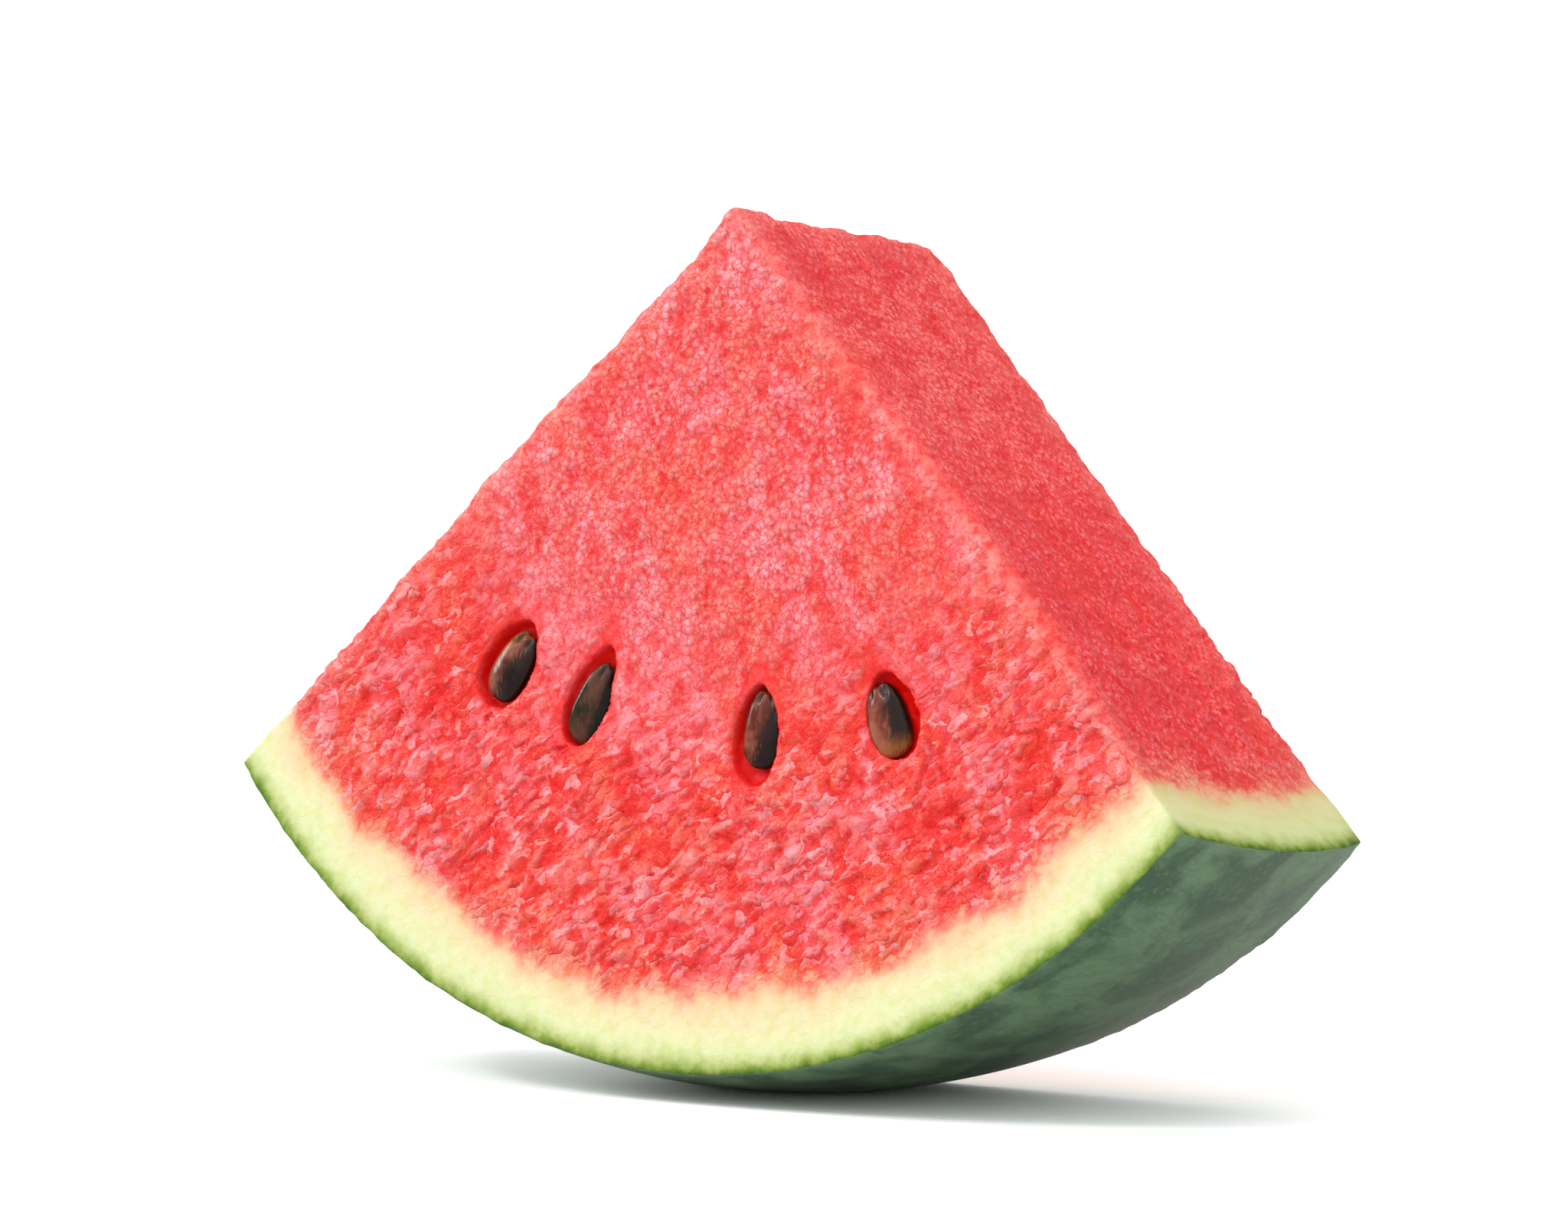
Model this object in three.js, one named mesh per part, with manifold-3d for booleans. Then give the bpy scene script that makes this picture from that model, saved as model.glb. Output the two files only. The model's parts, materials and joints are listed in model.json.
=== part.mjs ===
// A wedge of seeded watermelon: a quarter of a thick round slice, resting on its rind.
// The flesh, rind and skin grew as one piece and are one solid. Each seed that the knife has
// laid bare is a solid of its own, lying in its pocket in a cut face.
//
// The wedge is modelled in its cut frame and then set down on the table.
//   Cut frame: Y runs along the apex edge from the front cut face to the back one, Z points
//   from the rind to the apex, and the front end of the apex edge is the origin.
//   Part frame: +Z up, the front cut face looks along -Y, and the origin is on the table under
//   the middle of the wedge's box.
// Lengths are in millimetres and angles in degrees.
import * as THREE from "three";
import { mergeVertices } from "three/addons/utils/BufferGeometryUtils.js";
import Module from "manifold-3d";

const wasm = await Module();
wasm.setup();

// The melon and the three cuts.
const MELON_RADIUS = 100;
const SLICE_THICKNESS = 42.5;
const QUARTER = 90; // angle between the two long cuts, which meet at the apex edge
const FRONT_TO_CORE = 15.4; // the front cut lies this far in front of the melon's widest circle
const APEX_ABOVE_CORE = 12.7; // the long cuts meet this far past the melon's centre line
const CORE_OFFSET = 2.4; // the centre line lies this far to the right of the apex edge

// How it rests: rocked back until its weight is over the round rind.
const REST_TILT = 8.2;
const REST_ROLL = -0.5;
const FLAT_DEPTH = 0.4; // the rind gives this much where it stands, which makes a small flat

// Seeds and the pockets they lie in.
const SEED_LENGTH = 10.6;
const SEED_WIDTH = 6.4;
const SEED_THICKNESS = 2.5;
const SEED_TAPER = 0.3; // how much narrower the pointed end is than the round end
const SEED_CLEARANCE = 0.35;
const POCKET_DEPTH = 2.7;

// Facets.
const MELON_SECTORS = 120;
const SEED_SIDES = 18;
const SEED_RINGS = 9;

// Each seed: where its middle lies on the cut face (across to the right, down from the apex), how
// its pointed end leans to the right, how it is turned about its own length, and how deep its
// middle lies. open is the mouth of its pocket: the offset of its middle from the seed's, across
// and towards the point, and its half width and half length.
const FRONT_SEEDS = [
  { across: -31.2, down: 60.0, lean: 18, turn: -4, deep: 1.2, open: [-0.4, -0.3, 3.9, 6.3] },
  { across: -16.6, down: 64.8, lean: 17, turn: 26, deep: 1.9, open: [-0.7, 0.9, 3.0, 6.8] },
  { across: 10.5, down: 67.0, lean: -4, turn: 10, deep: 1.4, open: [-0.9, -1.1, 3.2, 6.4] },
  { across: 29.9, down: 64.9, lean: -20, turn: -5, deep: 1.2, open: [0.9, -0.6, 3.8, 6.3] },
];
const BACK_SEEDS = [
  { across: -27.5, down: 61.5, lean: 26, turn: 8, deep: 1.3, open: [0.6, -0.4, 3.6, 6.2] },
  { across: 3.5, down: 69.0, lean: 4, turn: -12, deep: 1.4, open: [-0.6, 0.6, 3.5, 6.3] },
  { across: 30.5, down: 58.5, lean: -33, turn: 9, deep: 1.3, open: [0.5, 0.6, 3.7, 6.1] },
];

const fleshMaterial = new THREE.MeshStandardMaterial({ color: 0xe8524a, roughness: 0.35 });
fleshMaterial.name = "flesh_and_rind";
const seedMaterial = new THREE.MeshStandardMaterial({ color: 0x2a1d16, roughness: 0.3 });
seedMaterial.name = "seed_coat";

const radians = THREE.MathUtils.degToRad;

// The centre of the round melon in the cut frame.
const core = new THREE.Vector3(CORE_OFFSET, FRONT_TO_CORE, -APEX_ABOVE_CORE);

// The turn from the cut frame to the part frame.
const restTurn = new THREE.Euler(radians(-REST_TILT), radians(REST_ROLL), 0, "XYZ");

// A closed three.js geometry as a solid for cutting.
function solid(geometry) {
  const bare = geometry.clone();
  bare.deleteAttribute("normal");
  bare.deleteAttribute("uv");
  const merged = mergeVertices(bare, 1e-4);
  return new wasm.Manifold(
    new wasm.Mesh({
      numProp: 3,
      vertProperties: new Float32Array(merged.attributes.position.array),
      triVerts: new Uint32Array(merged.index.array),
    }),
  );
}

// A solid back as a three.js geometry.
function geometryOf(cut) {
  const mesh = cut.getMesh();
  const geometry = new THREE.BufferGeometry();
  geometry.setAttribute("position", new THREE.BufferAttribute(mesh.vertProperties, 3));
  geometry.setIndex(new THREE.BufferAttribute(mesh.triVerts, 1));
  geometry.computeVertexNormals();
  return geometry;
}

// The whole melon, its poles on the Y axis as it grew.
function melon() {
  const ball = new THREE.SphereGeometry(MELON_RADIUS, MELON_SECTORS, MELON_SECTORS / 2);
  ball.translate(core.x, core.y, core.z);
  return solid(ball);
}

// The prism that the front, back and two long cuts leave, far past the rind below.
function cutPrism() {
  const reach = 2 * MELON_RADIUS;
  const half = radians(QUARTER / 2);
  const outline = new THREE.Shape();
  outline.moveTo(0, 0);
  outline.lineTo(-reach * Math.sin(half), -reach * Math.cos(half));
  outline.lineTo(reach * Math.sin(half), -reach * Math.cos(half));
  outline.closePath();
  const prism = new THREE.ExtrudeGeometry(outline, { depth: SLICE_THICKNESS, bevelEnabled: false });
  prism.rotateX(Math.PI / 2); // the outline now stands in X and Z, and the depth runs along -Y
  prism.translate(0, SLICE_THICKNESS, 0);
  return solid(prism);
}

// The table, as a slab under the wedge in the cut frame.
function tableSlab() {
  const thickness = 20;
  const slab = new THREE.BoxGeometry(MELON_RADIUS, MELON_RADIUS, thickness);
  slab.translate(0, 0, -MELON_RADIUS + FLAT_DEPTH - thickness / 2);
  const fromRest = new THREE.Matrix4().makeRotationFromEuler(restTurn).invert();
  slab.applyMatrix4(fromRest);
  slab.translate(core.x, core.y, core.z);
  return solid(slab);
}

// An egg with its point along +Y, round about Y: a seed before it is flattened, or a pocket.
function egg(halfLength, halfWidth, taper) {
  const outline = [];
  for (let ring = 0; ring <= SEED_RINGS; ring++) {
    const angle = (Math.PI * ring) / SEED_RINGS;
    const radius = halfWidth * Math.sin(angle) * (1 + taper * Math.cos(angle));
    outline.push(new THREE.Vector2(Math.max(0, radius), -halfLength * Math.cos(angle)));
  }
  outline[0].x = 0;
  outline[SEED_RINGS].x = 0;
  return new THREE.LatheGeometry(outline, SEED_SIDES);
}

function seedGeometry(grow = 0) {
  const halfWidth = SEED_WIDTH / 2 + grow;
  const seed = egg(SEED_LENGTH / 2 + grow, halfWidth, SEED_TAPER);
  seed.scale(1, 1, (SEED_THICKNESS / 2 + grow) / halfWidth);
  return seed;
}

// The matrix that lays a seed, drawn flat in X and Y with its point along +Y, on a cut face.
function seedPlace(seed, isBack) {
  const onFace = new THREE.Matrix4().makeRotationX(Math.PI / 2);
  const lean = new THREE.Matrix4().makeRotationZ(radians(-seed.lean));
  const turn = new THREE.Matrix4().makeRotationY(radians(seed.turn));
  const faceY = isBack ? SLICE_THICKNESS - seed.deep : seed.deep;
  const place = new THREE.Matrix4().makeTranslation(seed.across, faceY, -seed.down);
  return place.multiply(onFace).multiply(lean).multiply(turn);
}

// The hollow around a seed: the fitting space it grew in, and the wider mouth left open.
function pocket(seed, isBack) {
  const fitting = seedGeometry(SEED_CLEARANCE);
  fitting.applyMatrix4(seedPlace(seed, isBack));
  const [sideways, pointwards, halfWidth, halfLength] = seed.open;
  const mouth = egg(halfLength, halfWidth, SEED_TAPER);
  mouth.scale(1, 1, POCKET_DEPTH / halfWidth);
  mouth.translate(sideways, pointwards, 0);
  mouth.applyMatrix4(seedPlace({ ...seed, turn: 0, deep: 0 }, isBack));
  return solid(fitting).add(solid(mouth));
}

function fleshAndRindGeometry() {
  let flesh = melon().intersect(cutPrism()).subtract(tableSlab());
  for (const seed of FRONT_SEEDS) flesh = flesh.subtract(pocket(seed, false));
  for (const seed of BACK_SEEDS) flesh = flesh.subtract(pocket(seed, true));
  return geometryOf(flesh);
}

function seedMesh(seed, isBack, name) {
  const mesh = new THREE.Mesh(geometryOf(solid(seedGeometry())), seedMaterial);
  mesh.name = name;
  mesh.applyMatrix4(seedPlace(seed, isBack));
  return mesh;
}

// The wedge and its seeds, together in the cut frame.
const fleshAndRind = new THREE.Mesh(fleshAndRindGeometry(), fleshMaterial);
fleshAndRind.name = "flesh_and_rind";
const cutPiece = new THREE.Group();
cutPiece.add(fleshAndRind);
FRONT_SEEDS.forEach((seed, i) => cutPiece.add(seedMesh(seed, false, `front_seed_${i + 1}`)));
BACK_SEEDS.forEach((seed, i) => cutPiece.add(seedMesh(seed, true, `back_seed_${i + 1}`)));
cutPiece.rotation.copy(restTurn);
cutPiece.updateMatrixWorld(true);

// Set down: the table is at z = 0, and the middle of the wedge's box is over the origin.
const box = new THREE.Box3().setFromObject(fleshAndRind, true);
const flatHeight = core.clone().applyEuler(restTurn).z - MELON_RADIUS + FLAT_DEPTH;
cutPiece.position.set(-(box.min.x + box.max.x) / 2, -(box.min.y + box.max.y) / 2, -flatHeight);

const watermelonWedge = new THREE.Group();
watermelonWedge.add(cutPiece);

export default watermelonWedge;
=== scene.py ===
"""A wedge of seeded watermelon, resting on its rind.

The flesh, rind and skin are one piece, made as a finely divided block that is pressed into
the wedge's shape. Each bare seed is a piece of its own, lying in its pocket in a cut face.

Shapes are worked out in the cut frame, in millimetres, and then set down in the part's frame,
in metres. In the cut frame the front end of the apex edge is the origin, Y runs along that edge
to the back, X runs to the right, and Z points from the rind to the apex.
"""

import json
import math

import bmesh
import bpy
import numpy as np
from mathutils import Matrix, Vector, noise


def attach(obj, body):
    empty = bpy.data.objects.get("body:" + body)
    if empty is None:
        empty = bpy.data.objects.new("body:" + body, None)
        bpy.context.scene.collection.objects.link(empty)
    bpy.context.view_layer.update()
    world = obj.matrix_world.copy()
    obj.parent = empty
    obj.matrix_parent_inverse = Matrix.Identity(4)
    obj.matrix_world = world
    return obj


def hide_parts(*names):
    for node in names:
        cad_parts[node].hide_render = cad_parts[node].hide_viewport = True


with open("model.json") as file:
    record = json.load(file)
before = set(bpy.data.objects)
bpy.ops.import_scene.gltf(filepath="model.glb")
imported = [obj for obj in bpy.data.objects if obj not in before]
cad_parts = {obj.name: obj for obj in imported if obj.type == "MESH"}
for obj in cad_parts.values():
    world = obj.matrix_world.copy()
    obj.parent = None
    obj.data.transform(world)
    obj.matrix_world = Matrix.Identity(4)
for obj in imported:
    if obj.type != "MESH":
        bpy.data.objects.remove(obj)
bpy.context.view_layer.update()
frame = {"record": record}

MM = 0.001

# The melon and its cuts, as in the CAD model.
MELON_RADIUS = 100.0
SLICE_THICKNESS = 42.5
CORE = np.array([2.4, 15.4, -12.7])
REST_TILT = math.radians(8.2)
REST_ROLL = math.radians(-0.5)
FLAT_DEPTH = 0.4
SQUARE_CORNER = math.sqrt(0.5)

# How finely the flesh is divided, before and after thinning.
CELLS_ACROSS = 250
CELLS_THROUGH = 84
FLESH_TRIANGLES = 192000

# Seeds.
SEED_LENGTH = 10.4
SEED_WIDTH = 6.3
SEED_THICKNESS = 3.0
SEED_TAPER = 0.14
SEED_CLEARANCE = 0.3
MOUTH_TAPER = 0.2

# Each seed, by its CAD node: where its middle lies on the cut face (across to the right, down from
# the apex), how its point leans to the right, its turn about its own length, and how deep its
# middle lies. size is how long and wide it is, against the usual seed. mouth is the opening of
# its pocket: the offset of its middle from the seed's, across and towards the point, and its
# half width and half length. coat is how red and how olive its colour is. amber is how amber it
# gets and on which side. The last entry is the side on which the seed is drawn nearly black, a
# painted shade on its side away from the light.
FRONT_SEEDS = {
    "front_seed_1": dict(
        across=-31.1, down=60.3, lean=31, turn=-6, deep=1.2, size=(0.97, 0.93),
        mouth=(-0.4, 0.2, 4.1, 6.3), coat=(0.4, 0.3), amber=(1.0, -0.75, 0.65), painted_shade=(0.9, -0.2),
    ),
    "front_seed_2": dict(
        across=-17.3, down=64.7, lean=22, turn=27, deep=1.8, size=(1.1, 0.92),
        mouth=(-0.6, 0.9, 3.2, 7.0), coat=(0.0, 1.0), amber=(0.0, -1.0, 0.0), painted_shade=(1.7, 0.2),
    ),
    "front_seed_3": dict(
        across=10.4, down=66.8, lean=1, turn=8, deep=1.4, size=(1.0, 0.91),
        mouth=(-0.5, -1.0, 3.5, 6.6), coat=(0.7, 0.1), amber=(0.0, 0.0, -1.0), painted_shade=(0.9, -0.5),
    ),
    "front_seed_4": dict(
        across=29.9, down=64.9, lean=-25, turn=2, deep=1.2, size=(0.97, 0.95),
        mouth=(1.3, 0.1, 3.9, 5.9), coat=(1.0, 0.0), amber=(0.8, -0.1, -0.85), painted_shade=(0.8, -0.1),
    ),
}
BACK_SEEDS = {
    "back_seed_1": dict(
        across=-27.5, down=61.5, lean=26, turn=8, deep=1.3, size=(1.0, 1.0),
        mouth=(0.7, -0.4, 3.7, 6.1), coat=(0.6, 0.3), amber=(0.5, 0.7, -0.7), painted_shade=(-0.9, 0.2),
    ),
    "back_seed_2": dict(
        across=3.5, down=69.0, lean=4, turn=-12, deep=1.4, size=(1.04, 1.02),
        mouth=(-0.8, 0.7, 3.5, 6.3), coat=(0.2, 0.7), amber=(0.3, -0.9, 0.2), painted_shade=(0.9, -0.3),
    ),
    "back_seed_3": dict(
        across=30.5, down=58.5, lean=-33, turn=9, deep=1.3, size=(0.97, 1.03),
        mouth=(0.6, 0.6, 3.7, 6.0), coat=(0.8, 0.2), amber=(0.6, 0.0, -1.0), painted_shade=(-0.8, 0.5),
    ),
}


def set_down():
    """The matrix from the cut frame in millimetres to the part's frame in metres."""
    rest = next(m for m in frame["record"]["mounts"] if m["name"] == "rind_rest")
    core_height = Vector((0, 0, (MELON_RADIUS - FLAT_DEPTH) * MM))
    to_core = Matrix.Translation(Vector(rest["pos_m"]) + core_height)
    turn = Matrix.Rotation(-REST_TILT, 4, "X") @ Matrix.Rotation(REST_ROLL, 4, "Y")
    return to_core @ turn @ Matrix.Scale(MM, 4) @ Matrix.Translation(-Vector(CORE))


SET_DOWN = set_down()


# ---------------------------------------------------------------------------------- camera

CAMERA_AZIMUTH = math.radians(37.46)
CAMERA_ELEVATION = math.radians(4.0)
CAMERA_DISTANCE = 1.5
CAMERA_LENS = 268.9
AIM_RIGHT = 6.1 * MM
AIM_DOWN = 52.1 * MM


def place_camera():
    """A long lens, a little to the right of the front cut face and just above its middle."""
    turn = Matrix.Rotation(CAMERA_AZIMUTH, 4, "Z") @ Matrix.Rotation(math.pi / 2 - CAMERA_ELEVATION, 4, "X")
    apex = SET_DOWN @ Vector((0, 0, 0))
    aim = apex + turn @ Vector((AIM_RIGHT, -AIM_DOWN, 0))
    data = bpy.data.cameras.new("camera")
    data.sensor_width = 36
    data.lens = CAMERA_LENS
    data.clip_end = 100
    camera = bpy.data.objects.new("camera", data)
    camera.matrix_world = Matrix.Translation(aim + turn @ Vector((0, 0, CAMERA_DISTANCE))) @ turn
    bpy.context.scene.collection.objects.link(camera)
    bpy.context.scene.camera = camera


place_camera()


# ----------------------------------------------------------------------------- small tools


def smooth_step(low, high, value):
    share = np.clip((value - low) / (high - low), 0, 1)
    return share * share * (3 - 2 * share)


def each(points, read):
    """read(point) for every row of points, as an array."""
    return np.array([read(point) for point in points.tolist()])


def fractal(points, size, octaves, seed=0.0):
    """Soft noise of about -1 to 1, with lumps of the given size in each direction."""
    scaled = points / np.asarray(size) + seed
    return each(scaled, lambda p: noise.fractal(p, 0.8, 2.0, octaves, noise_basis="PERLIN_ORIGINAL"))


def coordinates(mesh):
    flat = np.empty(len(mesh.vertices) * 3)
    mesh.vertices.foreach_get("co", flat)
    return flat.reshape(-1, 3)


def set_coordinates(mesh, points):
    mesh.vertices.foreach_set("co", points.ravel())
    mesh.update()


def store(mesh, name, values):
    """Stores a value for each point, for the mesh's materials to read."""
    attribute = mesh.attributes.new(name, "FLOAT", "POINT")
    attribute.data.foreach_set("value", np.asarray(values, np.float32))


def new_object(name, mesh):
    made = bpy.data.objects.new(name, mesh)
    bpy.context.scene.collection.objects.link(made)
    return made


def smooth_shaded(mesh):
    mesh.polygons.foreach_set("use_smooth", [True] * len(mesh.polygons))


# -------------------------------------------------------------------- the wedge's own shape

# Outward directions of the flat cuts, in the cut frame.
FRONT_OUT = np.array([0, -1, 0])
BACK_OUT = np.array([0, 1, 0])
LEFT_OUT = np.array([-SQUARE_CORNER, 0, SQUARE_CORNER])
RIGHT_OUT = np.array([SQUARE_CORNER, 0, SQUARE_CORNER])


def inside_cuts(points):
    """How far each point lies inside the front, back, left and right cuts, as four columns."""
    return np.stack(
        [points[:, 1], SLICE_THICKNESS - points[:, 1], -points @ LEFT_OUT, -points @ RIGHT_OUT], axis=1
    )


def below_skin(points):
    return MELON_RADIUS - np.linalg.norm(points - CORE, axis=1)


def divided_block():
    """A cube from 0 to 1, with the front and back divided across both ways and the sides through."""
    block = bmesh.new()
    bmesh.ops.create_cube(block, size=1.0, matrix=Matrix.Translation((0.5, 0.5, 0.5)))
    for axis, cells in enumerate((CELLS_ACROSS, CELLS_ACROSS, CELLS_THROUGH)):
        along = [e for e in block.edges if abs(e.verts[0].co[axis] - e.verts[1].co[axis]) > 0.9]
        bmesh.ops.subdivide_edges(block, edges=along, cuts=cells - 1, use_grid_fill=True)
    return block


def pressed_to_wedge(block):
    """The divided cube's points moved to the sharp wedge: X and Y fan out from the apex."""
    u, v, w = block.T
    far = np.maximum(u, v)
    near = np.minimum(u, v)
    share = np.divide(near, far, out=np.zeros_like(far), where=far > 0) / 2
    fan = np.where(u >= v, share, 1 - share) * math.pi / 2 - math.pi / 4
    outwards = np.stack([np.sin(fan), np.zeros_like(fan), -np.cos(fan)], axis=1)
    start = np.stack([np.zeros_like(w), w * SLICE_THICKNESS, np.zeros_like(w)], axis=1)
    from_core = start - CORE
    along = np.sum(from_core * outwards, axis=1)
    short = np.sum(from_core * from_core, axis=1) - MELON_RADIUS**2
    reach = np.sqrt(along * along - short) - along
    return start + outwards * (far * reach)[:, None]


# -------------------------------------------------------------------------------- relief


# Flakes lie along the slope from the lower left to the upper right of the front cut.
FLAKE_LEAN = math.radians(33)
FLAKE_AXES = np.array(
    [
        [math.cos(FLAKE_LEAN), 0, -math.sin(FLAKE_LEAN)],
        [0, 1, 0],
        [math.sin(FLAKE_LEAN), 0, math.cos(FLAKE_LEAN)],
    ]
)
FLAKE_SIZE = np.array([3.6, 2.4, 1.9])

# How rough and how torn each cut is: front, back, left and right.
CUT_ROUGHNESS = np.array([1.0, 0.9, 0.8, 0.6])
CUT_TEAR = np.array([1.0, 0.9, 0.6, 0.1])

# The knife bowed a little: how far the right and left cuts swell out at the front.
RIGHT_SWELL = 1.75
LEFT_SWELL = 0.95
APEX_NUB = 1.3


def flake_tilt(point):
    """A tilted flake: each cell of a random mosaic slopes its own way."""
    distances, centres = noise.voronoi(point)
    centre = centres[0]
    slope = noise.noise_vector(centre * 7.3)
    offset = Vector(point) - centre
    return offset.dot(slope) + 0.25 * (distances[1] - distances[0])


def cut_relief(points):
    """The height of the torn flesh on the cuts, from soft knife waves down to small granules."""
    depth = below_skin(points)
    flesh = smooth_step(7.5, 13.0, depth)
    near_rind = smooth_step(52.0, 26.0, depth) * smooth_step(10.0, 15.0, depth)
    waves = 0.2 * fractal(points, 24.0, 2)
    lumps = 0.32 * fractal(points, 4.2, 2, seed=3.1)
    warp = np.stack([fractal(points, 6.0, 1, seed=s) for s in (11.0, 17.0, 23.0)], axis=1)
    turned = points @ FLAKE_AXES + 1.8 * warp
    flakes = each(turned / FLAKE_SIZE, flake_tilt)
    granules = 0.15 * fractal(points, 1.2, 2, seed=5.7)
    return waves + flesh * (lumps + granules + flakes * (0.2 + 0.7 * near_rind))


def knife_swell(points):
    """How far each cut stands out past its plane where the knife bowed, as four columns."""
    from_apex = np.clip(-points[:, 2] / 74.0, 0, 1)
    at_front = np.exp(-((points[:, 1] / 15.0) ** 2))
    right = RIGHT_SWELL * np.sin(math.pi * np.clip((from_apex - 0.2) / 0.77, 0, 1)) * at_front
    left = LEFT_SWELL * np.sin(math.pi * from_apex) * at_front
    nub = APEX_NUB * np.exp(-((np.linalg.norm(points, axis=1) / 5.0) ** 2))
    none = np.zeros_like(right)
    return np.stack([0.3 * nub, none, left + nub, right], axis=1)


def softened(points):
    """The sharp wedge's points drawn to a softer one: torn faces, crumbly ridges, crisp rind edge."""
    depth = below_skin(points)
    height = cut_relief(points)
    flesh = smooth_step(5.0, 12.0, depth)
    crumbs = 1 + 0.45 * fractal(points, 3.5, 2, seed=8.3)
    softness = (0.16 + flesh * 0.6 * crumbs)[:, None]
    skin_height = 0.10 * fractal(points, 26.0, 2, seed=2.2)
    to_cut = inside_cuts(points).min(axis=1)
    skin_height += 0.22 * np.exp(-((to_cut / 1.6) ** 2)) * fractal(points, 2.6, 2, seed=4.4)
    swell = knife_swell(points)
    outwards = np.stack([FRONT_OUT, BACK_OUT, LEFT_OUT, RIGHT_OUT])
    for _ in range(4):
        out_of_cuts = -inside_cuts(points) - swell - height[:, None] * CUT_ROUGHNESS
        out_of_skin = -below_skin(points) - skin_height
        out = np.column_stack([out_of_cuts, out_of_skin])
        most = out.max(axis=1, keepdims=True)
        weights = np.exp((out - most) / softness)
        total = weights.sum(axis=1, keepdims=True)
        surface = (most + softness * np.log(total))[:, 0]
        weights /= total
        radial = points - CORE
        radial /= np.linalg.norm(radial, axis=1, keepdims=True)
        slope = weights[:, :4] @ outwards + weights[:, 4:] * radial
        points = points - slope * (surface / np.sum(slope * slope, axis=1))[:, None]
    return points


# ------------------------------------------------------------------------ seeds' pockets

POCKET_WALL = 0.28  # the share of the mouth that the walls take up


def on_face(seed, points):
    """Points of the cut frame in a seed's own frame: across it, along it to its point."""
    lean = math.radians(seed["lean"])
    across = points[:, 0] - seed["across"]
    up = points[:, 2] + seed["down"]
    return across * math.cos(lean) - up * math.sin(lean), across * math.sin(lean) + up * math.cos(lean)


def mouth_share(seed, points):
    """How far out of the pocket's mouth a point lies: 0 in its middle, 1 on its lip."""
    sideways, pointwards, half_width, half_length = seed["mouth"]
    across, along = on_face(seed, points)
    along = (along - pointwards) / half_length
    width = half_width * (1 - MOUTH_TAPER * np.clip(along, -1, 1))
    return np.hypot((across - sideways) / width, along)


def halo_share(seed, points):
    """How much a point shows the wet red flesh round a pocket, which runs on above its point."""
    sideways, pointwards, half_width, half_length = seed["mouth"]
    across, along = on_face(seed, points)
    along = (along - pointwards) / half_length
    along = np.where(along > 0, along / 1.5, along / 1.12)
    share = np.hypot((across - sideways) / (half_width * (1.12 - 0.35 * np.clip(along, -1, 1))), along)
    return smooth_step(1.24, 0.88, share)


def hollow_pocket(seed, is_back, points):
    """Presses a seed's pocket into the cut face: a soft lip, steep walls, and a floor under the seed."""
    from_face = SLICE_THICKNESS - points[:, 1] if is_back else points[:, 1]
    near = np.flatnonzero((from_face < 1.5) & (mouth_share(seed, points) < 1.35))
    here = points[near]
    sideways, pointwards, half_width, half_length = seed["mouth"]
    across, along = on_face(seed, here)
    b = (along - pointwards) / half_length
    a = (across - sideways) / (half_width * (1 - MOUTH_TAPER * np.clip(b, -1, 1)))
    share = np.maximum(np.hypot(a, b), 1e-6)
    inner = share < 1
    wall = np.clip((1 - share) / POCKET_WALL, 0, 1)

    # The point on the mouth's lip in this direction, and the one on the floor's edge or floor.
    lip_along = pointwards + b / share * half_length
    lip_across = sideways + a / share * half_width * (1 - MOUTH_TAPER * b / share)
    floor_share = np.minimum(share / (1 - POCKET_WALL), 1)
    floor_b = b / share * floor_share
    half_seed_length = seed["size"][0] * SEED_LENGTH / 2 + SEED_CLEARANCE
    half_seed_width = seed["size"][1] * SEED_WIDTH / 2 + SEED_CLEARANCE
    floor_along = floor_b * half_seed_length
    floor_across = a / share * floor_share * half_seed_width * (1 - SEED_TAPER * floor_b)
    tilt = math.tan(math.radians(seed["turn"])) * (-1 if is_back else 1)
    floor_depth = seed["deep"] + SEED_THICKNESS / 3 + np.maximum(floor_across * tilt, -1.2)

    new_across = np.where(inner, lip_across + (floor_across - lip_across) * wall, across)
    new_along = np.where(inner, lip_along + (floor_along - lip_along) * wall, along)
    depth = floor_depth * np.sqrt(1 - (1 - wall) ** 2)
    lip = 0.2 * np.exp(-(((share - 1) / 0.1) ** 2))
    lean = math.radians(seed["lean"])
    here[:, 0] += (new_across - across) * math.cos(lean) + (new_along - along) * math.sin(lean)
    here[:, 2] += (new_along - along) * math.cos(lean) - (new_across - across) * math.sin(lean)
    here[:, 1] += (-1 if is_back else 1) * (depth + lip)
    points[near] = here


def refine_pockets(bm):
    """Divides the cut faces finely around the seeds."""
    points = np.array([v.co for v in bm.verts])
    near = np.zeros(len(points), bool)
    for seeds, is_back in ((FRONT_SEEDS, False), (BACK_SEEDS, True)):
        from_face = SLICE_THICKNESS - points[:, 1] if is_back else points[:, 1]
        for seed in seeds.values():
            near |= (from_face < 0.01) & (mouth_share(seed, points) < 1.25)
    inside = [e for e in bm.edges if near[e.verts[0].index] and near[e.verts[1].index]]
    bmesh.ops.subdivide_edges(bm, edges=inside, cuts=1, use_grid_fill=True)


# ------------------------------------------------------------------------- flesh and rind


def flesh_mesh():
    bm = divided_block()
    block = np.array([v.co for v in bm.verts])
    for vert, place in zip(bm.verts, pressed_to_wedge(block).tolist()):
        vert.co = place
    bm.verts.index_update()
    refine_pockets(bm)
    bmesh.ops.recalc_face_normals(bm, faces=bm.faces)
    mesh = bpy.data.meshes.new("flesh_and_rind")
    bm.to_mesh(mesh)
    bm.free()
    points = softened(coordinates(mesh))
    for seed in FRONT_SEEDS.values():
        hollow_pocket(seed, False, points)
    for seed in BACK_SEEDS.values():
        hollow_pocket(seed, True, points)
    set_coordinates(mesh, points)
    return mesh


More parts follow.
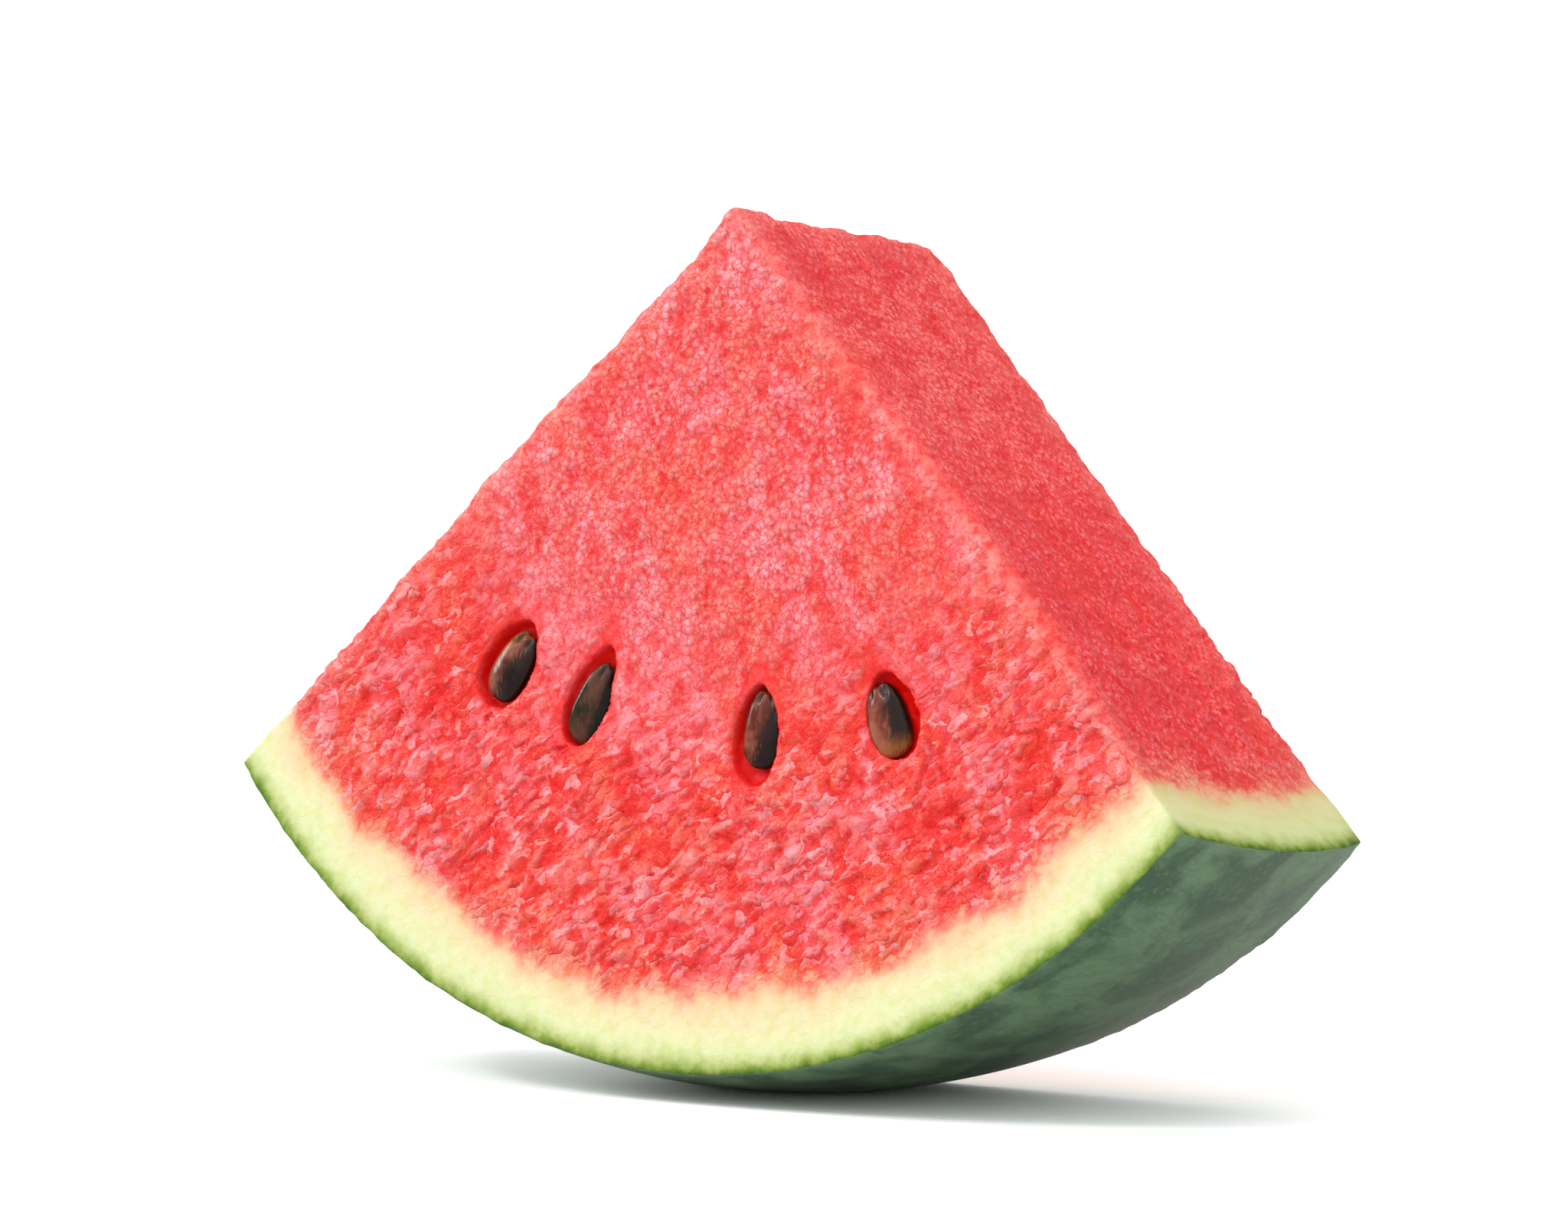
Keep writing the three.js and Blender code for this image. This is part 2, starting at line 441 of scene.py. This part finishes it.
def thinned(mesh, triangles):
    """The mesh with fewer triangles, most of them left where it is rough."""
    made = new_object("thinning", mesh)
    thin = made.modifiers.new("thin", "DECIMATE")
    thin.ratio = triangles / (2 * len(mesh.polygons))
    bpy.context.view_layer.update()
    result = bpy.data.meshes.new_from_object(made.evaluated_get(bpy.context.evaluated_depsgraph_get()))
    bpy.data.objects.remove(made)
    return result


def note_surface(mesh):
    """Stores on the mesh what its materials read, and gives the skin's faces the skin material."""
    points = coordinates(mesh)
    cuts = inside_cuts(points)
    depth = below_skin(points)
    nearest = np.sort(cuts, axis=1)
    in_pocket = np.zeros(len(points))
    halo = np.zeros(len(points))
    for seeds, column in ((FRONT_SEEDS, 0), (BACK_SEEDS, 1)):
        for seed in seeds.values():
            inside = smooth_step(1.06, 0.9, mouth_share(seed, points)) * (cuts[:, column] < 4.5)
            in_pocket = np.maximum(in_pocket, inside * smooth_step(0.1, 1.2, cuts[:, column]))
            halo = np.maximum(halo, halo_share(seed, points) * (cuts[:, column] < 4.5))
    back_edge = np.exp(-np.maximum(cuts[:, 1], 0) / 3.0) * (cuts[:, 3] < 1.5)
    # The ridges and the back edge are marked for a painted glow, and the right cut for the flesh's painted shade
    # there.
    values = {
        "relief": np.clip(-(cuts + knife_swell(points)).min(axis=1), -1.0, 1.0) * (depth > 1.0),
        "ridge_glow": np.maximum(np.exp(-np.maximum(nearest[:, 1], 0) / 1.7), back_edge),
        "torn": (cuts <= nearest[:, :1]) @ CUT_TEAR * smooth_step(62.0, 34.0, depth),
        "side": smooth_step(-0.4, 1.6, cuts[:, 0] - cuts[:, 3]) * smooth_step(3.0, 1.0, cuts[:, 3]),
        "pocket": in_pocket,
        "halo": halo,
    }
    for name, value in values.items():
        store(mesh, name, value)
    centres = np.empty(len(mesh.polygons) * 3)
    mesh.polygons.foreach_get("center", centres)
    centres = centres.reshape(-1, 3)
    is_skin = below_skin(centres) < inside_cuts(centres).min(axis=1)
    is_skin &= below_skin(centres) < 1.5
    mesh.polygons.foreach_set("material_index", is_skin.astype(np.int32))


def build_flesh(materials):
    mesh = thinned(flesh_mesh(), FLESH_TRIANGLES)
    for material in materials:
        mesh.materials.append(material)
    note_surface(mesh)
    mesh.transform(SET_DOWN)
    points = coordinates(mesh)
    points[:, 2] = np.maximum(points[:, 2], 0)
    set_coordinates(mesh, points)
    smooth_shaded(mesh)
    piece = new_object("melon_wedge", mesh)
    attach(piece, "root")
    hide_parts("flesh_and_rind")


# --------------------------------------------------------------------------------- seeds


def seed_mesh(name, seed, variety):
    """A domed oval with a blunt point, a thin rim and two small hollows beside the point."""
    bm = bmesh.new()
    bmesh.ops.create_uvsphere(bm, u_segments=64, v_segments=48, radius=1.0)
    bmesh.ops.rotate(bm, matrix=Matrix.Rotation(-math.pi / 2, 3, "X"), verts=bm.verts)
    mesh = bpy.data.meshes.new(name)
    bm.to_mesh(mesh)
    bm.free()
    x, y, z = coordinates(mesh).T
    round_width = np.sqrt(np.maximum(1 - y * y, 1e-9))
    full_width = np.maximum(1 - np.abs(y) ** 2.7, 0) ** 0.44
    width = (1 - SEED_TAPER * y) * full_width / round_width
    edge = np.clip(np.hypot(x, y), 0, 1)
    hollows = 0.0
    for side in (-1, 1):
        hollows = hollows + np.exp(-(((x - side * (0.5 - 0.28 * y)) / 0.11) ** 2) - ((y - 0.76) / 0.2) ** 2)
    nick = 1 - 0.1 * np.exp(-((x / 0.16) ** 2)) * smooth_step(0.8, 1.0, y)
    thickness = np.sign(z) * np.abs(z) ** 0.9 * (1 - 0.35 * hollows) * (1 - 0.1 * y)
    length_share, width_share = seed["size"]
    half_size = np.array([width_share * SEED_WIDTH, length_share * SEED_LENGTH, SEED_THICKNESS]) / 2
    points = np.stack([x * width, y * nick, thickness], axis=1) * half_size
    dents = 0.08 * fractal(points, (2.4, 4.2, 2.4), 2, seed=31.0 + variety)
    points[:, 2] += dents * np.sign(z) * (1 - edge**4)
    set_coordinates(mesh, points)
    red, olive = seed["coat"]
    amber, amber_x, amber_y = seed["amber"]
    shade_x, shade_y = seed["painted_shade"]
    to_amber = smooth_step(0.3, 0.8, x * amber_x + y * amber_y) * smooth_step(1.05, 0.7, np.abs(z))
    store(mesh, "redness", np.full(len(x), red))
    store(mesh, "olive", np.full(len(x), olive))
    store(mesh, "amber", amber * to_amber * (1 - 0.7 * np.clip(hollows, 0, 1)))
    # Painted shade: the side of the seed away from the light is marked to be drawn nearly black.
    store(mesh, "painted_shade", smooth_step(-0.35, 0.65, x * shade_x + y * shade_y))
    # Painted shade: the two hollows beside the point are marked to be drawn nearly black.
    store(mesh, "hollow_shade", 0.7 * np.clip(hollows, 0, 1))
    smooth_shaded(mesh)
    return mesh


def seed_place(seed, is_back):
    turn = Matrix.Rotation(math.pi / 2, 4, "X")
    turn @= Matrix.Rotation(math.radians(-seed["lean"]), 4, "Z")
    turn @= Matrix.Rotation(math.radians(seed["turn"]), 4, "Y")
    depth = SLICE_THICKNESS - seed["deep"] if is_back else seed["deep"]
    return Matrix.Translation((seed["across"], depth, -seed["down"])) @ turn


def build_seeds(material):
    placed = [(name, seed, False) for name, seed in FRONT_SEEDS.items()]
    placed += [(name, seed, True) for name, seed in BACK_SEEDS.items()]
    for variety, (name, seed, is_back) in enumerate(placed):
        mesh = seed_mesh(name, seed, variety)
        mesh.transform(SET_DOWN @ seed_place(seed, is_back))
        mesh.materials.append(material)
        piece = new_object("bare_" + name, mesh)
        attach(piece, "root")
        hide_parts(name)


# ------------------------------------------------------------------------ material tools


def tint(red, green, blue):
    """A screen colour, 0 to 255, as the linear colour that a shader takes."""
    channels = [c / 255 for c in (red, green, blue)]
    linear = [c / 12.92 if c <= 0.04045 else ((c + 0.055) / 1.055) ** 2.4 for c in channels]
    return (*linear, 1.0)


def put(tree, kind, inputs=None, **settings):
    """A new node. Each input is given a value, or the output that feeds it."""
    made = tree.nodes.new(kind)
    for name, value in settings.items():
        setattr(made, name, value)
    for name, value in (inputs or {}).items():
        if isinstance(value, bpy.types.NodeSocket):
            tree.links.new(value, made.inputs[name])
        else:
            made.inputs[name].default_value = value
    return made


def math_node(tree, operation, first, second=0.0, clamp=False):
    inputs = {0: first, 1: second}
    return put(tree, "ShaderNodeMath", inputs, operation=operation, use_clamp=clamp).outputs[0]


def product(tree, first, second):
    return math_node(tree, "MULTIPLY", first, second)


def vector_node(tree, operation, *inputs):
    return put(tree, "ShaderNodeVectorMath", dict(enumerate(inputs)), operation=operation)


def ranged(tree, value, from_low, from_high, to_low=0.0, to_high=1.0):
    inputs = {"Value": value, "From Min": from_low, "From Max": from_high, "To Min": to_low, "To Max": to_high}
    return put(tree, "ShaderNodeMapRange", inputs, interpolation_type="SMOOTHSTEP").outputs["Result"]


def mixed(tree, share, first, second):
    """A value that goes from first to second as share goes from 0 to 1."""
    inputs = {0: share, 2: first, 3: second}
    return put(tree, "ShaderNodeMix", inputs, data_type="FLOAT").outputs[0]


def blended(tree, share, first, second, kind="MIX"):
    made = put(tree, "ShaderNodeMix", data_type="RGBA", blend_type=kind)
    for socket, value in ((made.inputs[0], share), (made.inputs[6], first), (made.inputs[7], second)):
        if isinstance(value, bpy.types.NodeSocket):
            tree.links.new(value, socket)
        else:
            socket.default_value = value
    return made.outputs[2]


def ramp(tree, value, stops):
    """A colour ramp whose stops are (place, colour)."""
    made = put(tree, "ShaderNodeValToRGB", {"Fac": value})
    elements = made.color_ramp.elements
    while len(elements) < len(stops):
        elements.new(1.0)
    for element, (place, colour) in zip(elements, stops):
        element.position = place
        element.color = colour
    return made.outputs["Color"]


def soft_noise(tree, place, size, detail=2.0, roughness=0.5, distortion=0.0):
    """Noise from 0 to 1 with lumps about size across, in the units of place."""
    inputs = {
        "Vector": place, "Scale": 1 / size, "Detail": detail,
        "Roughness": roughness, "Distortion": distortion,
    }
    return put(tree, "ShaderNodeTexNoise", inputs).outputs["Fac"]


def stored(tree, name):
    return put(tree, "ShaderNodeAttribute", attribute_name=name).outputs["Fac"]


def melon_place(tree, stretch=(1, 1, 1), lean=0.0):
    """Where a point is from the melon's centre, in millimetres, with the melon's core along Y.

    A pattern that reads it can be turned by lean in the front cut's plane, and then stretched.
    """
    place = put(tree, "ShaderNodeTexCoord").outputs["Object"]
    to_cut = SET_DOWN.inverted()
    turn = to_cut.to_3x3().normalized()
    offset = to_cut @ Vector((0, 0, 0)) - Vector(CORE)
    turned = put(
        tree, "ShaderNodeMapping",
        {"Vector": place, "Scale": (1000, 1000, 1000), "Rotation": turn.to_euler(), "Location": offset},
    ).outputs[0]
    if stretch == (1, 1, 1):
        return turned
    if lean:
        turned = put(tree, "ShaderNodeMapping", {"Vector": turned, "Rotation": (0, lean, 0)}).outputs[0]
    return put(tree, "ShaderNodeVectorMath", {0: turned, 1: stretch}, operation="MULTIPLY").outputs[0]


def slanted(tree, place):
    """The right cut's own place, drawn out across the slope from the upper back to the lower front."""
    over = vector_node(tree, "DOT_PRODUCT", place, (0.5, 0.707, -0.5)).outputs["Value"]
    along = vector_node(tree, "DOT_PRODUCT", place, (0.29, -0.41, -0.29)).outputs["Value"]
    return put(tree, "ShaderNodeCombineXYZ", {0: over, 1: along}).outputs[0]


def new_material(name):
    material = bpy.data.materials.new(name)
    material.use_nodes = True
    tree = material.node_tree
    return material, tree, tree.nodes["Principled BSDF"]


# --------------------------------------------------------------------------- materials

# The cut's colour by depth below the skin, in millimetres.
RIND_TO_FLESH = [
    (0.0, (76, 112, 28)),
    (0.5, (112, 142, 50)),
    (1.1, (156, 172, 92)),
    (2.0, (194, 206, 142)),
    (3.2, (216, 222, 172)),
    (5.0, (223, 222, 175)),
    (6.8, (226, 215, 173)),
    (8.3, (227, 203, 162)),
    (9.9, (234, 184, 148)),
    (11.4, (235, 154, 120)),
    (13.4, (234, 116, 92)),
    (17.0, (232, 80, 66)),
    (24.0, (230, 64, 54)),
    (40.0, (228, 74, 66)),
    (60.0, (223, 114, 118)),
]
DEEPEST_STOP = 60.0

# The first is the painted highlight on the tops of granules and plates, and the second the painted shade in their gaps
# and in sunk flesh.
HIGHLIGHT_PINK = (238, 160, 166)
GAP_SHADE_RED = (230, 28, 28)


def mosaic(tree, place, size):
    """A mosaic of small tilted plates: each plate's slope, its shade, and how near its edge is."""
    nearest = put(tree, "ShaderNodeTexVoronoi", {"Vector": place, "Scale": 1 / size}, feature="F1")
    second = put(tree, "ShaderNodeTexVoronoi", {"Vector": place, "Scale": 1 / size}, feature="F2")
    slope = vector_node(tree, "SUBTRACT", nearest.outputs["Color"], (0.5, 0.5, 0.5)).outputs[0]
    offset = vector_node(tree, "SUBTRACT", place, nearest.outputs["Position"]).outputs[0]
    tilt = vector_node(tree, "DOT_PRODUCT", offset, slope).outputs["Value"]
    shade = put(tree, "ShaderNodeSeparateColor", {0: nearest.outputs["Color"]}).outputs[0]
    gap = math_node(tree, "SUBTRACT", second.outputs["Distance"], nearest.outputs["Distance"])
    return tilt, shade, ranged(tree, gap, 0.16, 0.0)


def flesh_material():
    material, tree, shader = new_material("cut_flesh")
    place = melon_place(tree)
    centre_distance = vector_node(tree, "LENGTH", place).outputs["Value"]
    depth = math_node(tree, "SUBTRACT", MELON_RADIUS, centre_distance)
    torn = stored(tree, "torn")
    relief = stored(tree, "relief")
    pocket = stored(tree, "pocket")
    side = stored(tree, "side")

    # The rind's layers wander a little, and the green at the skin is notched.
    wander = soft_noise(tree, place, 9.0, detail=3.0)
    fray = soft_noise(tree, place, 2.4, detail=4.0, roughness=0.6)
    wandered = math_node(tree, "ADD", depth, ranged(tree, wander, 0.2, 0.8, -1.4, 1.4))
    wandered = math_node(tree, "ADD", wandered, ranged(tree, fray, 0.2, 0.8, -0.7, 0.7))
    notched = math_node(tree, "ADD", depth, ranged(tree, fray, 0.3, 0.7, -0.35, 0.5))
    worked_depth = mixed(tree, ranged(tree, depth, 1.5, 6.0), notched, wandered)
    share = math_node(tree, "DIVIDE", worked_depth, DEEPEST_STOP)
    stops = [(depth_mm / DEEPEST_STOP, tint(*colour)) for depth_mm, colour in RIND_TO_FLESH]
    base = ramp(tree, share, stops)
    flesh = ranged(tree, worked_depth, 8.0, 13.0)
    rind = math_node(tree, "SUBTRACT", 1.0, flesh)
    fibres = soft_noise(tree, melon_place(tree, stretch=(1.0, 0.3, 1.0)), 1.6, detail=4.0)
    fibre_share = product(tree, ranged(tree, fibres, 0.42, 0.68, 0, 0.34), rind)
    base = blended(tree, fibre_share, base, tint(238, 240, 176), "MULTIPLY")
    # Painted shade: on the right cut the rind is drawn a little darker and the flesh a deeper red, as if in less light
    # and without the front's sheen.
    side_rind_shade = product(tree, side, rind)
    base = blended(tree, side_rind_shade, base, tint(240, 240, 224), "MULTIPLY")
    side_flesh_shade = product(tree, side, ranged(tree, worked_depth, 11.0, 23.0))
    side_shaded_red = blended(tree, ranged(tree, depth, 46.0, 84.0), tint(250, 38, 42), tint(252, 92, 86))
    base = blended(tree, product(tree, side_flesh_shade, 0.9), base, side_shaded_red)

    # Ripe patches and paler ones, drawn out towards the core. The paler ones are a painted sheen,
    # weaker on the right cut.
    patch_place = melon_place(tree, stretch=(1.0, 0.5, 0.42))
    patches = soft_noise(tree, patch_place, 4.2, detail=4.0, roughness=0.62, distortion=0.8)
    ripe = product(tree, ranged(tree, patches, 0.5, 0.57, 0, 0.75), flesh)
    colour = blended(tree, ripe, base, tint(226, 40, 28))
    sheen_place = melon_place(tree, stretch=(1.0, 1.0, 0.4), lean=0.3)
    sheen = soft_noise(tree, sheen_place, 5.0, detail=4.0, roughness=0.6, distortion=0.4)
    broad = soft_noise(tree, melon_place(tree, stretch=(1.0, 1.0, 0.6), lean=0.5), 13.0, detail=2.0, distortion=0.5)
    paleness = math_node(tree, "ADD", sheen, ranged(tree, broad, 0.3, 0.7, -0.14, 0.14))
    pale = product(tree, ranged(tree, paleness, 0.44, 0.66), flesh)
    pale = product(tree, pale, ranged(tree, side, 0, 1, 1.0, 0.35))
    orange = product(tree, ranged(tree, math_node(tree, "ADD", broad, patches), 1.02, 0.86, 0, 0.5), flesh)
    orange = product(tree, orange, ranged(tree, side, 0, 1, 1.0, 0.2))
    colour = blended(tree, orange, colour, tint(232, 98, 60))
    # Painted sheen: pale pink where the paler patches lie.
    colour = blended(tree, product(tree, pale, 0.6), colour, tint(238, 140, 150))

    # Small granules everywhere, and torn plates on the cuts that crumbled. Their tops and the
    # raised sides of the plates get a painted highlight, and the creases and gaps a painted shade.
    warp = put(tree, "ShaderNodeTexNoise", {"Vector": place, "Scale": 1 / 2.6, "Detail": 2.0})
    warped = vector_node(tree, "MULTIPLY_ADD", warp.outputs["Color"], (1.2, 1.2, 1.2), place).outputs[0]
    front_grain_place = melon_place(tree, stretch=(1.0, 1.0, 0.7), lean=0.5)
    front_grain = soft_noise(tree, front_grain_place, 0.9, detail=3.0, roughness=0.65)
    side_grain = soft_noise(tree, slanted(tree, place), 0.62, detail=3.0, roughness=0.7)
    grain = mixed(tree, side, front_grain, side_grain)
    granules = put(tree, "ShaderNodeTexVoronoi", {"Vector": warped, "Scale": 1 / 1.05}, feature="F1")
    granule = granules.outputs["Distance"]
    granule_highlight = product(tree, ranged(tree, grain, 0.44, 0.56), ranged(tree, granule, 0.6, 0.15, 0.25, 1))
    # Painted shade in the creases between the granules.
    edges = put(tree, "ShaderNodeTexVoronoi", {"Vector": warped, "Scale": 1 / 1.05}, feature="DISTANCE_TO_EDGE")
    crease_shade = ranged(tree, edges.outputs["Distance"], 0.13, 0.02, 0, 0.5)
    granule_gap_shade = math_node(
        tree, "MAXIMUM", ranged(tree, grain, 0.5, 0.36), product(tree, ranged(tree, granule, 0.5, 0.8), 0.6)
    )
    plate_place = melon_place(tree, stretch=(0.4, 1.0, 1.0), lean=FLAKE_LEAN)
    plate_place = vector_node(tree, "MULTIPLY_ADD", warp.outputs["Color"], (2.4, 2.4, 2.4), plate_place)
    plate_place = plate_place.outputs[0]
    tilt, shade, gap = mosaic(tree, plate_place, 1.5)
    small_tilt, small_shade, small_gap = mosaic(tree, plate_place, 0.8)
    slopes = math_node(tree, "ADD", tilt, small_tilt)
    plate_highlight = product(tree, ranged(tree, slopes, -0.08, 0.3), ranged(tree, shade, 0.15, 0.7, 0.2, 1))
    plate_gap_shade = math_node(tree, "MAXIMUM", ranged(tree, slopes, -0.02, -0.3), product(tree, gap, 0.4))
    # top is where the painted highlight goes, and low where the painted shade goes.
    top = product(tree, mixed(tree, torn, granule_highlight, plate_highlight), flesh)
    low = product(tree, mixed(tree, torn, granule_gap_shade, plate_gap_shade), flesh)
    highlight_share = mixed(tree, torn, math_node(tree, "ADD", 0.3, product(tree, pale, 0.6)), 0.75)
    highlight_share = mixed(tree, side, highlight_share, 0.5)
    highlight_share = product(tree, highlight_share, ranged(tree, ripe, 0, 1, 1, 0.5))
    # Painted shade: the gaps are drawn a deep red, darker on the right cut.
    shaded_gap_red = blended(tree, side, tint(*GAP_SHADE_RED), tint(206, 14, 28))
    colour = blended(tree, product(tree, low, 0.75), colour, shaded_gap_red)
    crease_shade = product(tree, crease_shade, product(tree, flesh, ranged(tree, torn, 0, 1, 1, 0.3)))
    blotches = soft_noise(tree, slanted(tree, place), 4.6, detail=6.0, roughness=0.72)
    dark_blotch = product(tree, product(tree, ranged(tree, blotches, 0.5, 0.62, 0, 0.85), side), flesh)
    colour = blended(tree, dark_blotch, colour, tint(220, 8, 24))
    side_patch = product(tree, product(tree, ranged(tree, broad, 0.42, 0.62, 0, 0.5), side), flesh)
    colour = blended(tree, side_patch, colour, tint(220, 12, 32))
    # Painted highlight on the tops of the granules and plates, then painted shade in the creases.
    colour = blended(tree, product(tree, top, highlight_share), colour, tint(*HIGHLIGHT_PINK))
    colour = blended(tree, crease_shade, colour, tint(214, 34, 36))

    # Painted shade where the flesh is sunk below the cut, and a painted highlight where it stands out.
    sunk_shade = product(tree, ranged(tree, relief, 0.05, -0.45, 0, 0.6), flesh)
    colour = blended(tree, sunk_shade, colour, tint(*GAP_SHADE_RED))
    raised_highlight = product(tree, ranged(tree, relief, 0.1, 0.6, 0, 0.35), flesh)
    colour = blended(tree, raised_highlight, colour, tint(240, 148, 146))
    # Painted glow: the thin ridges and the back edge are drawn a pale peach, as light shines through.
    ridge_noise = soft_noise(tree, place, 2.2, detail=5.0, roughness=0.75)
    ridge_wander = ranged(tree, ridge_noise, 0.4, 0.62, 0.1, 0.72)
    ridge_glow = product(tree, product(tree, stored(tree, "ridge_glow"), flesh), ridge_wander)
    colour = blended(tree, ridge_glow, colour, tint(246, 148, 136))
    colour = blended(tree, product(tree, stored(tree, "halo"), 0.45), colour, tint(238, 36, 32))
    colour = blended(tree, pocket, colour, tint(226, 8, 6))
    tree.links.new(colour, shader.inputs["Base Color"])

    rough = soft_noise(tree, place, 2.0, detail=2.0)
    roughness = mixed(tree, side, ranged(tree, rough, 0.25, 0.75, 0.16, 0.36), 0.6)
    roughness = mixed(tree, pocket, roughness, 0.4)
    tree.links.new(roughness, shader.inputs["Roughness"])

    # Heights in millimetres.
    granule_height = ranged(tree, granule, 0.0, 0.8, 0.2, 0.0)
    plate_height = math_node(tree, "SUBTRACT", product(tree, slopes, 0.4), product(tree, gap, 0.05))
    height = mixed(tree, torn, granule_height, plate_height)
    height = math_node(tree, "ADD", height, product(tree, grain, 0.45))
    smooth = product(tree, ranged(tree, stored(tree, "halo"), 0.3, 1.0, 1, 0.12), ranged(tree, flesh, 0, 1, 0.12, 1.0))
    smooth = product(tree, smooth, ranged(tree, side, 0, 1, 1.0, 0.45))
    bump = put(tree, "ShaderNodeBump", {"Height": product(tree, height, smooth), "Distance": MM})
    tree.links.new(bump.outputs["Normal"], shader.inputs["Normal"])

    shader.inputs["Subsurface Weight"].default_value = 0.12
    shader.inputs["Subsurface Radius"].default_value = (1.0, 0.3, 0.2)
    shader.inputs["Subsurface Scale"].default_value = 1.2 * MM
    shader.inputs["Specular IOR Level"].default_value = 0.2
    return material


def skin_material():
    material, tree, shader = new_material("melon_skin")
    place = melon_place(tree)
    streaks = soft_noise(tree, melon_place(tree, stretch=(1.0, 0.22, 1.0)), 2.2, detail=5.0, roughness=0.6)
    clouds = soft_noise(tree, place, 9.0, detail=5.0, roughness=0.55, distortion=0.5)
    speckle = soft_noise(tree, place, 0.9, detail=3.0)
    veins = math_node(tree, "ABSOLUTE", math_node(tree, "SUBTRACT", streaks, 0.5))
    colour = blended(tree, ranged(tree, clouds, 0.36, 0.62), tint(62, 92, 64), tint(106, 136, 102))
    colour = blended(tree, ranged(tree, veins, 0.035, 0.0, 0, 0.35), colour, tint(62, 92, 66))
    colour = blended(tree, ranged(tree, speckle, 0.5, 0.75, 0, 0.4), colour, tint(118, 146, 110))
    tree.links.new(colour, shader.inputs["Base Color"])
    tree.links.new(ranged(tree, clouds, 0.3, 0.7, 0.38, 0.5), shader.inputs["Roughness"])
    bumps = math_node(tree, "ADD", streaks, product(tree, speckle, 0.3))
    bump = put(tree, "ShaderNodeBump", {"Height": bumps, "Distance": 0.1 * MM, "Strength": 0.5})
    tree.links.new(bump.outputs["Normal"], shader.inputs["Normal"])
    shader.inputs["Specular IOR Level"].default_value = 0.4
    return material


def seed_material():
    material, tree, shader = new_material("seed_coat")
    place = melon_place(tree)
    cloud = soft_noise(tree, place, 4.0, detail=3.0)
    grain = soft_noise(tree, melon_place(tree, stretch=(1.0, 1.0, 0.25)), 0.35, detail=3.0)
    olive = stored(tree, "olive")
    colour = blended(tree, stored(tree, "redness"), tint(50, 31, 20), tint(108, 34, 20))
    colour = blended(tree, product(tree, olive, 0.8), colour, tint(34, 30, 12))
    # Random paler patches, made bright enough to stand in for highlights where the painted shade leaves them: partly
    # the coat's own tone, partly painted highlight.
    paler = product(tree, ranged(tree, cloud, 0.44, 0.6, 0, 0.75), ranged(tree, olive, 0, 1, 1, 0.25))
    colour = blended(tree, paler, colour, tint(164, 94, 74))
    # Painted highlight: fine pale streaks, fewer on the olive seeds.
    streaks = product(tree, ranged(tree, grain, 0.5, 0.64, 0, 0.5), ranged(tree, olive, 0, 1, 1, 0.4))
    colour = blended(tree, streaks, colour, tint(146, 92, 60))
    # Painted shade: the marked side is drawn nearly black, with a frayed edge.
    frayed_shade = math_node(tree, "ADD", stored(tree, "painted_shade"), ranged(tree, grain, 0.3, 0.7, -0.25, 0.25))
    colour = blended(tree, ranged(tree, frayed_shade, 0.0, 0.85, 0, 0.95), colour, tint(12, 7, 5))
    amber = product(tree, stored(tree, "amber"), ranged(tree, grain, 0.36, 0.56, 0.3, 1))
    colour = blended(tree, amber, colour, tint(150, 92, 36))
    # Painted shade in the two hollows beside the point.
    colour = blended(tree, stored(tree, "hollow_shade"), colour, tint(10, 7, 6))
    tree.links.new(colour, shader.inputs["Base Color"])
    tree.links.new(ranged(tree, grain, 0.3, 0.7, 0.12, 0.26), shader.inputs["Roughness"])
    bump = put(tree, "ShaderNodeBump", {"Height": grain, "Distance": 0.06 * MM, "Strength": 0.5})
    tree.links.new(bump.outputs["Normal"], shader.inputs["Normal"])
    shader.inputs["Specular IOR Level"].default_value = 0.2
    return material


build_flesh([flesh_material(), skin_material()])
build_seeds(seed_material())


# ------------------------------------------------------------------------ floor and light


def build_floor():
    bm = bmesh.new()
    bmesh.ops.create_grid(bm, x_segments=1, y_segments=1, size=40)
    mesh = bpy.data.meshes.new("floor")
    bm.to_mesh(mesh)
    bm.free()
    material, tree, shader = new_material("pale_floor")
    seen = put(tree, "ShaderNodeLightPath").outputs["Is Camera Ray"]
    shade = blended(tree, seen, (0.62, 0.62, 0.62, 1), (1.3, 1.3, 1.3, 1))
    tree.links.new(shade, shader.inputs["Base Color"])
    shader.inputs["Roughness"].default_value = 0.8
    shader.inputs["Specular IOR Level"].default_value = 0.1
    mesh.materials.append(material)
    floor = new_object("floor", mesh)


def add_sun(name, strength, softness, azimuth, elevation):
    """A soft light from far away. Azimuth 0 is in front of the wedge and 90 is to its right."""
    data = bpy.data.lights.new(name, "SUN")
    data.energy = strength
    data.angle = math.radians(softness)
    light = bpy.data.objects.new(name, data)
    turn = Matrix.Rotation(math.radians(azimuth), 4, "Z")
    light.matrix_world = turn @ Matrix.Rotation(math.radians(90 - elevation), 4, "X")
    bpy.context.scene.collection.objects.link(light)


def light_studio():
    world = bpy.data.worlds.new("studio")
    world.use_nodes = True
    background = world.node_tree.nodes["Background"]
    background.inputs["Color"].default_value = (1, 1, 1, 1)
    background.inputs["Strength"].default_value = 0.67
    bpy.context.scene.world = world
    add_sun("key", 0.85, 75, 2, 36)
    add_sun("window", 0.5, 34, -48, 40)
    add_sun("fill", 0.4, 90, 75, 24)
    add_sun("top", 0.75, 60, 0, 88)
    add_sun("glint", 0.45, 8, -30, 48)
    add_sun("edge", 1.1, 24, -84, 20)
    bpy.context.scene.view_settings.view_transform = "Standard"


build_floor()
light_studio()
